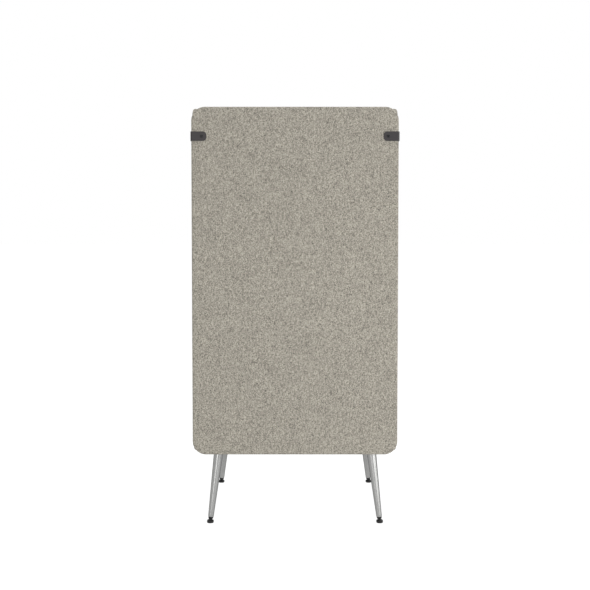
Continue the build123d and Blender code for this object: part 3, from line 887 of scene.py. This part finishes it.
@dataclass
class Cushion:
    """A boxed foam cushion in a fitted cover with a welt round its face and its back."""

    node: str
    name: str
    rises: int
    corner: float
    crown: float
    fill: float
    fullness: float = 0.55
    cell: float = 16 * MM
    voxel: float = 7 * MM
    draw_in: float = 4.5 * MM
    base_height: float = 2 * MM
    seam_height: float = 7 * MM
    bulge_room: float = 6.5 * MM
    side_swell: float = 4.5 * MM
    side_shares: tuple[float, ...] = (0.0, 0.14, 0.34, 0.66, 0.86)
    side_power: float = 0.6
    pressure: float = 4.0
    swell_cap: float = 24 * MM
    frames: int = 20
    pin_reach: float = 5 * MM
    rest_height: float = 3 * MM
    room: float = 0.2 * MM
    welt_radius: float = 3.2 * MM
    welt_stand: float = 2.7 * MM
    welt_lean: float = 1.1 * MM
    welt_sides: int = 10

    def __post_init__(self) -> None:
        """Read the cushion's box from the frame and lay out the outline and the levels of its seams."""
        self.low, self.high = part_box(self.node)
        self.along = 1 if self.rises == 2 else 2
        self.middle, size = (self.low + self.high) / 2, self.high - self.low
        width, height = size.x - 2 * self.bulge_room, size[self.along] - 2 * self.bulge_room
        self.sheet = RoundedSheet(width, height, self.corner, self.cell)
        self.levels = self.seam_height, size[self.rises] - self.crown - self.seam_height / 2

    def _place(self, a: float, b: float, t: float) -> Vector:
        """Find a point of the cushion.

        Args:
            a: its place across.
            b: its place along.
            t: its height in the cushion.

        Returns:
            The point.
        """
        spot = moved(self.middle, (0, a), (self.along, b))
        spot[self.rises] = self.low[self.rises] + t
        return spot

    def _drawn(self, a: float, b: float) -> Pair:
        """Draw a point of the outline in between the corners.

        Args:
            a: its place across.
            b: its place along.

        Returns:
            Its new place, across and along.
        """
        half_a, half_b = self.sheet.width / 2, self.sheet.height / 2
        pull_a = self.draw_in * (1 - (b / half_b) ** 2) * (abs(a) / half_a) ** 3
        pull_b = self.draw_in * (1 - (a / half_a) ** 2) * (abs(b) / half_b) ** 3
        return a - copysign(pull_a, a), b - copysign(pull_b, b)

    def _rise(self, a: float, b: float) -> float:
        """How far the cut shape's face is crowned at a point."""
        fall_a, fall_b = (a / (self.sheet.width / 2)) ** 4, (b / (self.sheet.height / 2)) ** 4
        return self.crown * self.fullness * (1 - fall_a) * (1 - fall_b)

    def _shape(self) -> Piece:
        """Cut the cover, before the foam fills it.

        Returns:
            The cover.
        """
        skin, sheet = Skin(), self.sheet
        lower, upper = self.levels
        outline = [self._drawn(a, b) for a, b in sheet.points]
        skin.lay(sheet, [self._place(a, b, self.base_height) for a, b in outline])
        for share in self.side_shares:
            out, level = self.side_swell * sin(pi * share) ** self.side_power, lower + (upper - lower) * share
            ring = zip([outline[k] for k in sheet.rim], sheet.outward)
            skin.ring(self._place(a + away_a * out, b + away_b * out, level) for (a, b), (away_a, away_b) in ring)
        tops = [upper + self._rise(a, b) for a, b in sheet.points]
        skin.lay(sheet, [self._place(a, b, top) for (a, b), top in zip(outline, tops)])
        return skin.piece(self.name, CUSHION_CLOTH)

    def _held(self, spot: Vector) -> bool:
        """Tell whether a point of the cover is held while the foam fills it.

        Args:
            spot: the point.

        Returns:
            True on the underside and along the two seams.
        """
        t = spot[self.rises] - self.low[self.rises]
        a, b = abs(spot.x - self.middle.x), abs(spot[self.along] - self.middle[self.along])
        half_a, half_b = self.sheet.width / 2, self.sheet.height / 2
        over_a, over_b = a - half_a + self.corner, b - half_b + self.corner
        on_edge = min(half_a - a, half_b - b) < self.draw_in + 2 * self.pin_reach or (
            over_a > 0 and over_b > 0 and hypot(over_a, over_b) > self.corner - 2 * self.pin_reach
        )
        return t < self.rest_height or (on_edge and min(abs(t - level) for level in self.levels) < self.pin_reach)

    def _fill(self, cover: Piece) -> None:
        """Swell the cover with cloth simulation, held at its seams and where it rests.

        Args:
            cover: the cut shape.
        """
        scene = bpy.context.scene
        bpy.context.view_layer.objects.active = cover
        remesh = cover.modifiers.new("even", "REMESH")
        remesh.mode = "VOXEL"
        remesh.voxel_size = self.voxel
        bpy.ops.object.modifier_apply(modifier=remesh.name)
        start = [point.co.copy() for point in cover.data.vertices]
        held = cover.vertex_groups.new(name="held")
        held.add([index for index, spot in enumerate(start) if self._held(spot)], 1.0, "REPLACE")
        cloth = cover.modifiers.new("fill", "CLOTH")
        cloth.settings.use_pressure = True
        cloth.settings.uniform_pressure_force = self.pressure
        cloth.settings.effector_weights.gravity = 0.0
        cloth.settings.vertex_group_mass = held.name
        cloth.point_cache.frame_end = self.frames
        for step in range(1, self.frames + 1):
            scene.frame_set(step)
        filled = cover.evaluated_get(bpy.context.evaluated_depsgraph_get())
        swollen = [point.co.copy() for point in filled.data.vertices]
        cover.modifiers.remove(cloth)
        scene.frame_set(1)
        for point, before, after in zip(cover.data.vertices, start, swollen):
            swell = after - before
            if swell.length > self.swell_cap:
                swell *= self.swell_cap / swell.length
            point.co = before + swell
        smooth = cover.modifiers.new("fine", "SUBSURF")
        smooth.levels = smooth.render_levels = 1
        bpy.ops.object.modifier_apply(modifier=smooth.name)
        cover.vertex_groups.clear()
        cover.data.shade_smooth()

    def _keep_inside(self, cover: Piece) -> None:
        """Press the cover flat where it meets what stands round it.

        Args:
            cover: the filled cover.
        """
        for point in cover.data.vertices:
            for axis in range(3):
                point.co[axis] = min(max(point.co[axis], self.low[axis] + self.room), self.high[axis] - self.room)

    def _welt(self, level: float, name: str) -> Piece:
        """Make a cloth-covered cord, sewn in one of the seams.

        Args:
            level: the cord's height in the cushion.
            name: the piece's name.

        Returns:
            The welt.
        """
        skin, up = Skin(), moved(Vector(), (self.rises, 1.0))
        for k, (out_a, out_b) in zip(self.sheet.rim, self.sheet.outward):
            away = moved(Vector(), (0, out_a), (self.along, out_b))
            centre = self._place(*self._drawn(*self.sheet.points[k]), level) + away * self.welt_stand
            skin.ring(
                centre + (away * cos(angle) + up * sin(angle)) * self.welt_radius for angle in turns(self.welt_sides)
            )
        skin.faces += bridge(skin.rings[-1], skin.rings[0])
        return skin.piece(name, CUSHION_CLOTH)

    def build(self) -> Piece:
        """Make the cushion and its two welts.

        Returns:
            The filled cover.
        """
        cover = self._shape()
        self._fill(cover)
        self._keep_inside(cover)
        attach(cover, "root")
        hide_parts(self.node)
        for level, lean, place in zip(self.levels, (-self.welt_lean, self.welt_lean), ("lower", "upper")):
            welt = self._welt(level + lean, f"{self.name}_welt_{place}")
            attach(welt, "root")
        return cover


@dataclass
class Apron:
    """The cloth-covered front of the seat frame, wrapped over and under its foam."""

    thickness: float = 1.2 * MM
    edge_round: float = 3.0 * MM
    round_steps: int = 4
    face_steps: int = 10
    cell: float = 12 * MM
    wave: float = 0.5 * MM
    wave_scale: Pair = (11.0, 26.0)
    seed: float = 4.0

    def __post_init__(self) -> None:
        """Read the apron's box from the frame."""
        self.low, self.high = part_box("seat_apron_cover")

    def _outer(self) -> list[Pair]:
        """Lay out the cloth's outer side.

        Returns:
            The place to the front and the height of each point, from the top edge to the bottom edge.
        """
        low, high, radius = self.low, self.high, self.edge_round
        angles = quarter(self.round_steps)
        flat = (high.z - low.z - 2 * radius) / self.face_steps
        top = [(high.y - radius + radius * sin(turn), high.z - radius + radius * cos(turn)) for turn in angles]
        face = [(high.y, high.z - radius - flat * step) for step in range(1, self.face_steps)]
        bottom = [(high.y - radius + radius * cos(turn), low.z + radius - radius * sin(turn)) for turn in angles]
        return [(low.y, high.z)] + top + face + bottom + [(low.y, low.z)]

    def build(self) -> Piece:
        """Make the wrapped cloth.

        Returns:
            The piece, in place of its solid.
        """
        low, high, skin = self.low, self.high, Skin()
        bottom, front, top = low.z + self.thickness, high.y - self.thickness, high.z - self.thickness
        outer = self._outer()
        section = outer + [(low.y, bottom), (front, bottom), (front, top), (low.y, top)]
        columns = round((high.x - low.x) / self.cell)
        for column in range(columns + 1):
            x = low.x + (high.x - low.x) * column / columns
            ring = []
            for k, (y, z) in enumerate(section):
                spot = Vector((x * self.wave_scale[0], z * self.wave_scale[1], self.seed))
                on_face = self.round_steps - 1 < k < len(outer) - self.round_steps
                shift = self.wave * (0.5 - 0.5 * noise.noise(spot)) if on_face else 0.0
                ring.append(Vector((x, y - shift, z)))
            skin.ring(ring)
        skin.cap()
        cover = skin.piece("seat_apron_upholstery", SCREEN_CLOTH)
        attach(cover, "root")
        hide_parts("seat_apron_cover")
        return cover


@dataclass
class LegSizes:
    """Sizes that the four legs share."""

    splay: float = radians(6.65)
    ball_height: float = 7.4 * MM
    end_height: float = 22.9 * MM
    end_radius: float = 10.8 * MM
    top_radius: float = 19.0 * MM
    wall: float = 3.5 * MM
    plate_bottom: float = 287.2 * MM
    rest_gap: float = 0.3 * MM
    sides: int = 72

    def __post_init__(self) -> None:
        """Work out a leg's slope to each side, its length per metre of height and where it ends."""
        self.lean = tan(self.splay)
        self.stretch = sqrt(1 + 2 * self.lean**2)
        self.end, self.top = self.end_height * self.stretch, self.plate_bottom * self.stretch


@dataclass
class LegLine:
    """The centre line of one leg, from the floor up."""

    corner: Corner
    sizes: LegSizes

    def __post_init__(self) -> None:
        """Find the line's foot under the glide's ball."""
        low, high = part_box(f"glide_pad_{self.corner.label}")
        across, along = self.corner.side * self.sizes.lean, self.corner.end * self.sizes.lean
        self.foot = moved((low + high) / 2, (0, across * self.sizes.ball_height), (1, along * self.sizes.ball_height))
        self.foot.z = 0.0
        self.axis = Vector((-across, -along, 1.0)).normalized()
        self.first = Vector((1.0, 0.0, across)).normalized()
        self.second = self.axis.cross(self.first)

    def aside(self, angle: float) -> Vector:
        """The way from the line at an angle round it."""
        return self.first * cos(angle) + self.second * sin(angle)

    def spot(self, reach: float, radius: float, angle: float) -> Vector:
        """A point so far up the line and so far from it, at an angle round it."""
        return self.foot + self.axis * reach + self.aside(angle) * radius


@dataclass
class Leg:
    """A tapered tube, brushed along its length, with a rolled foot and a weld under its plate."""

    line: LegLine
    rows: int = 24
    end_round: float = 0.5 * MM
    round_steps: int = 4
    weld_height: float = 3.2 * MM
    weld_width: float = 2.6 * MM
    weld_steps: int = 5
    weld_ripple: float = 0.12
    weld_beads: int = 18
    inside_depth: float = 12 * MM

    def _radius(self, reach: float) -> float:
        """The tube's radius at a distance up its centre line."""
        sizes = self.line.sizes
        return sizes.end_radius + (sizes.top_radius - sizes.end_radius) * (reach - sizes.end) / (sizes.top - sizes.end)

    def _under_plate(self, angle: float, gap: float) -> float:
        """Follow the tube's side up to the plate.

        Args:
            angle: where round the tube.
            gap: how far under the plate to stop.

        Returns:
            How far up the centre line that is.
        """
        flat, slope = self._radius(0.0), self._radius(1.0) - self._radius(0.0)
        rise = self.line.aside(angle).z
        return (self.line.sizes.plate_bottom - gap - rise * flat) / (self.line.axis.z + rise * slope)

    def _foot(self) -> list[Pair]:
        """Lay out the bore and the rolled foot.

        Returns:
            How far up the centre line each ring lies, and its radius.
        """
        sizes, small = self.line.sizes, self.end_round
        bore, slope = sizes.end_radius - sizes.wall, self._radius(1.0) - self._radius(0.0)
        inside = (sizes.end + self.inside_depth, bore + slope * self.inside_depth)
        angles = quarter(self.round_steps)
        roll = [(sizes.end + small * (1 - cos(turn)), sizes.end_radius - small * (1 - sin(turn))) for turn in angles]
        return [inside, (sizes.end + small, bore), (sizes.end, bore + small)] + roll

    def build(self) -> Piece:
        """Make the leg.

        Returns:
            The piece, in place of its solid.
        """
        line, skin, angles = self.line, Skin(), turns(self.line.sizes.sides)
        for reach, radius in self._foot():
            skin.ring(line.spot(reach, radius, angle) for angle in angles)
        foot = line.sizes.end + self.end_round
        for row in range(1, self.rows):
            ring = []
            for angle in angles:
                reach = foot + (self._under_plate(angle, self.weld_height) - foot) * row / self.rows
                ring.append(line.spot(reach, self._radius(reach), angle))
            skin.ring(ring)
        for step in range(self.weld_steps + 1):
            share, ring = step / self.weld_steps, []
            for angle in angles:
                ripple = 1 + self.weld_ripple * sin(angle * self.weld_beads)
                reach = self._under_plate(angle, self.weld_height * (1 - share))
                out = self.weld_width * (1 - sqrt(1 - share**2)) * ripple
                ring.append(line.spot(reach, self._radius(reach) + out, angle))
            skin.ring(ring)
        skin.cap()
        finish = BrushedTube(f"leg_aluminium_{line.corner.label}", axis=tuple(line.axis))
        tube = skin.piece(f"leg_tube_{line.corner.label}", finish)
        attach(tube, "root")
        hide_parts(f"leg_{line.corner.label}")
        return tube


@dataclass
class GlideStem:
    """A levelling glide's stem: a screw thread, a spanner collar, a neck and a ball."""

    line: LegLine
    thread_radius: float = 4.0 * MM
    thread_pitch: float = 1.25 * MM
    thread_depth: float = 0.65 * MM
    thread_length: float = 42 * MM
    thread_steepness: float = 1.25
    rows_per_turn: int = 8
    collar_width: float = 19 * MM
    collar_height: float = 6 * MM
    collar_bevel: float = 0.9 * MM
    bevel_room: float = 0.2 * MM
    bevel_rings: tuple[Pair, ...] = ((0.0, 0.0), (0.5, 0.6), (1.0, inf))
    neck_radius: float = 2.6 * MM
    ball_radius: float = 4.5 * MM
    ball_steps: int = 8
    sharp_angle: float = radians(32)

    def _hexagon(self, angle: float) -> float:
        """The collar's radius at an angle."""
        sixth = tau / 6
        return self.collar_width / 2 / cos((angle + sixth / 2) % sixth - sixth / 2)

    def _rings(self) -> list[tuple[float, list[float]]]:
        """Lay out the stem from the ball up.

        Returns:
            How far up the leg's line each ring lies, and its radius at each angle.
        """
        sizes, angles = self.line.sizes, turns(self.line.sizes.sides)
        top = sizes.end - sizes.rest_gap
        low = top - self.collar_height
        rings = []
        for step in range(1, self.ball_steps + 1):
            turn = -pi / 2 + (pi - asin(self.neck_radius / self.ball_radius)) * step / self.ball_steps
            reach = sizes.ball_height * sizes.stretch + self.ball_radius * sin(turn)
            rings.append((reach, [self.ball_radius * cos(turn)] * sizes.sides))
        rings.append((low, [self.neck_radius] * sizes.sides))
        bevelled, bevel = self.collar_width / 2 - self.bevel_room, self.collar_bevel
        reaches = [(low + bevel * deep, out) for deep, out in self.bevel_rings]
        reaches += [(top - bevel * deep, out) for deep, out in reversed(self.bevel_rings)]
        for reach, out in reaches:
            rings.append((reach, [min(self._hexagon(angle), bevelled + bevel * out) for angle in angles]))
        core = self.thread_radius - self.thread_depth
        rings.append((top, [core] * sizes.sides))
        rows = round(self.thread_length / self.thread_pitch * self.rows_per_turn)
        for row in range(1, rows + 1):
            up = self.thread_length * row / rows
            depth = self.thread_depth * min(1.0, (rows - row) / self.rows_per_turn, row / self.rows_per_turn)
            crests = [1 - abs(2 * ((up / self.thread_pitch - angle / tau) % 1.0) - 1) for angle in angles]
            rings.append((top + up, [core + depth * min(1.0, crest * self.thread_steepness) for crest in crests]))
        return rings

    def build(self) -> Piece:
        """Make the stem.

        Returns:
            The piece, in place of its solid.
        """
        skin, label, angles = Skin(), self.line.corner.label, turns(self.line.sizes.sides)
        for reach, radii in self._rings():
            skin.ring(self.line.spot(reach, radius, angle) for radius, angle in zip(radii, angles))
        skin.cap()
        stem = skin.piece(f"glide_screw_{label}", GLIDE_STEEL)
        stem.data.set_sharp_from_angle(angle=self.sharp_angle)
        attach(stem, f"glide_stem_{label}")
        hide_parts(f"glide_stem_{label}")
        return stem


@dataclass
class GlidePad:
    """A levelling glide's moulded pad: a round base with a domed shoulder and a socket for the ball."""

    label: str
    base_radius: float = 13.45 * MM
    base_low: float = 2.0 * MM
    base_inset: float = 4.0 * MM
    edge_round: float = 1.1 * MM
    line_height: float = 2.2 * MM
    line_width: float = 0.5 * MM
    line_depth: float = 0.12 * MM
    rim_top: float = 7.4 * MM
    shoulder_rise: float = 3.9 * MM
    shoulder_steps: int = 8
    boss_radius: float = 8.0 * MM
    boss_fillet: float = 0.9 * MM
    boss_round: float = 0.8 * MM
    mouth_radius: float = 4.3 * MM
    mouth_bevel: float = 0.4 * MM
    socket_floor: float = 9.5 * MM
    sides: int = 72
    sharp_angle: float = radians(50)

    def _profile(self, top: float) -> list[Pair]:
        """Lay out the pad's outline, from the middle of its underside to the middle of its socket.

        Args:
            top: the pad's height.

        Returns:
            The radius and the height of each ring.
        """
        base, low, boss, mouth = self.base_radius, self.base_low, self.boss_radius, self.mouth_radius
        edge, fillet, small = self.edge_round, self.boss_fillet, self.boss_round
        line, brow = low + self.line_height, self.rim_top + self.shoulder_rise
        inward = base - boss - fillet
        angles = quarter(self.shoulder_steps)
        lower = [(base - edge * (1 - sin(turn)), low + edge * (1 - cos(turn))) for turn in (0.0, 0.4, 0.8, 1.2, pi / 2)]
        parting = [
            (base, line - self.line_width / 2), (base - self.line_depth, line), (base, line + self.line_width / 2),
        ]
        shoulder = [(base - inward * (1 - cos(turn)), self.rim_top + self.shoulder_rise * sin(turn)) for turn in angles]
        neck = [(boss + fillet * (1 - sin(turn)), brow + fillet * (1 - cos(turn))) for turn in (0.5, 1.0, pi / 2)]
        crown = [(boss - small * (1 - cos(turn)), top - small * (1 - sin(turn))) for turn in (0.0, 0.5, 1.0, pi / 2)]
        socket = [(mouth + self.mouth_bevel, top), (mouth, top - self.mouth_bevel), (mouth, self.socket_floor)]
        return [(base - self.base_inset, low)] + lower + parting + shoulder + neck + crown + socket

    def build(self) -> Piece:
        """Make the pad.

        Returns:
            The piece, in place of its solid.
        """
        low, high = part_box(f"glide_pad_{self.label}")
        middle, skin = (low + high) / 2, Skin()
        for radius, height in self._profile(high.z):
            skin.ring(
                Vector((middle.x + radius * cos(angle), middle.y + radius * sin(angle), height))
                for angle in turns(self.sides)
            )
        skin.cap()
        pad = skin.piece(f"glide_base_{self.label}", GLIDE_PLASTIC)
        pad.data.set_sharp_from_angle(angle=self.sharp_angle)
        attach(pad, f"glide_foot_{self.label}")
        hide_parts(f"glide_pad_{self.label}")
        return pad


@dataclass
class HardParts:
    """The frame's own nodes that keep their shape, each finish with the starts of its nodes' names."""

    finishes: tuple[tuple[Finish, tuple[str, ...]], ...] = (
        (CHARCOAL_COAT, ("corner_bracket_",)),
        (BLACK_SCREWS, ("bracket_screws",)),
        (ZINC_SCREWS, ("bracket_inserts", "screen_inserts", "screen_bolts", "deck_screws", "leg_screws")),
        (PLATE_STEEL, ("leg_plate_",)),
        (GLIDE_STEEL, ("glide_bushes",)),
        (GLIDE_PLASTIC, ("glide_pad_",)),
        (GLIDE_RUBBER, ("glide_sole_",)),
        (DUST_CLOTH, ("dust_cover",)),
        (FOAM, ("back_screen_foam", "left_screen_foam", "right_screen_foam", "seat_apron_foam")),
        (BOARDS[Layers.X], ("seat_rail_left", "seat_rail_right", "left_screen_core", "right_screen_core")),
        (BOARDS[Layers.Y], ("seat_rail_back", "seat_rail_front", "back_screen_core")),
        (BOARDS[Layers.Z], ("seat_deck", "corner_blocks")),
        (CUSHION_CLOTH, ("seat_cushion", "back_cushion")),
    )

    def dress(self) -> int:
        """Give each node its finish.

        Returns:
            How many nodes were dressed.
        """
        for node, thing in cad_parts.items():
            next((finish for finish, starts in self.finishes if node.startswith(starts)), SCREEN_CLOTH).dress(thing)
        return len(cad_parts)


# Studio


@dataclass
class Softbox:
    """One large soft lamp."""

    name: str
    place: tuple[float, float, float]
    aim: tuple[float, float, float]
    width: float
    height: float
    power: float

    def build(self) -> None:
        """Hang the lamp."""
        lamp = bpy.data.lights.new(self.name, "AREA")
        lamp.shape = "RECTANGLE"
        lamp.size, lamp.size_y = self.width, self.height
        lamp.energy = self.power
        made = bpy.data.objects.new(self.name, lamp)
        made.location = self.place
        made.rotation_euler = (Vector(self.aim) - Vector(self.place)).to_track_quat("-Z", "Y").to_euler()
        made.visible_camera = False
        bpy.context.scene.collection.objects.link(made)


@dataclass
class Studio:
    """A plain white studio with a pale floor, soft lamps and the photograph's camera."""

    floor_size: float = 80.0
    floor_tone: float = 0.72
    floor_shade: float = 0.17
    floor_glow: float = 0.955
    ambient: float = 0.365
    focal_length: float = 64.784
    sensor_width: float = 36.0
    camera_place: tuple[float, float, float] = (0.0, -4.43842, 1.20453)
    camera_pitch: float = radians(2.6518)
    camera_shift: float = -30 / 590
    softboxes: tuple[Softbox, ...] = (
        Softbox("softbox_back_left", (-1.3, -4.0, 1.0), (0.0, -0.3, 0.6), 0.9, 1.9, 38.0),
        Softbox("softbox_back_right", (2.5, -3.3, 1.0), (0.0, -0.3, 0.6), 2.0, 1.9, 51.0),
        Softbox("softbox_side_right", (4.2, -1.6, 1.2), (0.3, 0.0, 0.7), 1.6, 2.4, 43.0),
        Softbox("softbox_front_left", (-3.3, 2.4, 1.0), (0.0, 0.3, 0.6), 1.6, 1.9, 62.0),
        Softbox("softbox_front_right", (2.5, 3.3, 1.0), (0.0, 0.3, 0.6), 1.9, 1.9, 45.0),
        Softbox("softbox_front", (0.3, 4.2, 1.5), (0.0, 0.0, 0.9), 1.8, 2.4, 50.0),
        Softbox("softbox_above", (0.0, 0.0, 5.2), (0.0, 0.0, 0.0), 3.0, 3.0, 110.0),
    )

    def _white_rays(self, graph: ShaderGraph) -> Socket:
        """Tell the rays that see the background from the rest.

        Args:
            graph: the floor's material or the world.

        Returns:
            1 for rays that see the background, 0 for the rest.
        """
        rays = graph.add("LightPath").outputs
        seen = graph.math("MAXIMUM", rays["Is Camera Ray"], rays["Is Glossy Ray"])
        return graph.math("MAXIMUM", seen, rays["Is Transmission Ray"])

    def _floor(self) -> None:
        """Lay the floor, white to the camera but for the object's soft shadow."""
        half = self.floor_size / 2
        mesh = bpy.data.meshes.new("studio_floor")
        mesh.from_pydata([(-half, -half, 0), (half, -half, 0), (half, half, 0), (-half, half, 0)], [], [(0, 1, 2, 3)])
        floor = bpy.data.objects.new("studio_floor", mesh)
        bpy.context.scene.collection.objects.link(floor)
        mesh.materials.append(bpy.data.materials.new("studio_floor"))
        graph = ShaderGraph(mesh.materials[0])
        pale = graph.add("BsdfDiffuse", {"Color": toned(WHITE, self.floor_tone)}).outputs[0]
        faint = graph.add("BsdfDiffuse", {"Color": toned(WHITE, self.floor_shade)}).outputs[0]
        glow = graph.add("Emission", {"Color": WHITE, "Strength": self.floor_glow}).outputs[0]
        white = graph.add("AddShader", {0: faint, 1: glow}).outputs[0]
        both = graph.add("MixShader", {0: self._white_rays(graph), 1: pale, 2: white}).outputs[0]
        graph.add("OutputMaterial", {"Surface": both})

    def _world(self) -> None:
        """Light the room evenly and keep it white behind the object."""
        bpy.context.scene.world = bpy.data.worlds.new("studio")
        graph = ShaderGraph(bpy.context.scene.world)
        strength = graph.ramp(self._white_rays(graph), 0.0, 1.0, self.ambient)
        light = graph.add("Background", {"Color": WHITE, "Strength": strength}).outputs[0]
        graph.add("OutputWorld", {"Surface": light})

    def _camera(self) -> None:
        """Stand the camera where the photograph was taken."""
        lens = bpy.data.cameras.new("photo_camera")
        lens.sensor_width = self.sensor_width
        lens.lens = self.focal_length
        lens.shift_y = self.camera_shift
        camera = bpy.data.objects.new("photo_camera", lens)
        camera.location = self.camera_place
        camera.rotation_euler = (pi / 2 - self.camera_pitch, 0.0, 0.0)
        bpy.context.scene.collection.objects.link(camera)
        bpy.context.scene.camera = camera

    def build(self) -> None:
        """Make the whole studio."""
        bpy.context.scene.view_settings.view_transform = "Standard"
        self._floor()
        self._world()
        for softbox in self.softboxes:
            softbox.build()
        self._camera()


def main() -> None:
    """Build the booth's pieces in order."""
    logging.basicConfig(level=logging.INFO, format="%(name)s: %(message)s")
    Studio().build()
    log.info("dressed %d nodes of the frame", HardParts().dress())
    for number, screen in enumerate(Screen):
        log.info("made %s", UpholsteredScreen(screen, seed=number * 11.0).build().name)
    log.info("made %s", Apron().build().name)
    for cushion in (
        Cushion("seat_cushion", "seat_cushion_cover", rises=2, corner=24 * MM, crown=18 * MM, fill=0.75, fullness=0.8),
        Cushion("back_cushion", "back_cushion_cover", rises=1, corner=36 * MM, crown=16 * MM, fill=0.6),
    ):
        log.info("made %s", cushion.build().name)
    sizes = LegSizes()
    for corner in Corner:
        line = LegLine(corner, sizes)
        log.info("made %s", Leg(line).build().name)
        log.info("made %s", GlideStem(line).build().name)
        log.info("made %s", GlidePad(corner.label).build().name)


if __name__ == "__main__":
    main()
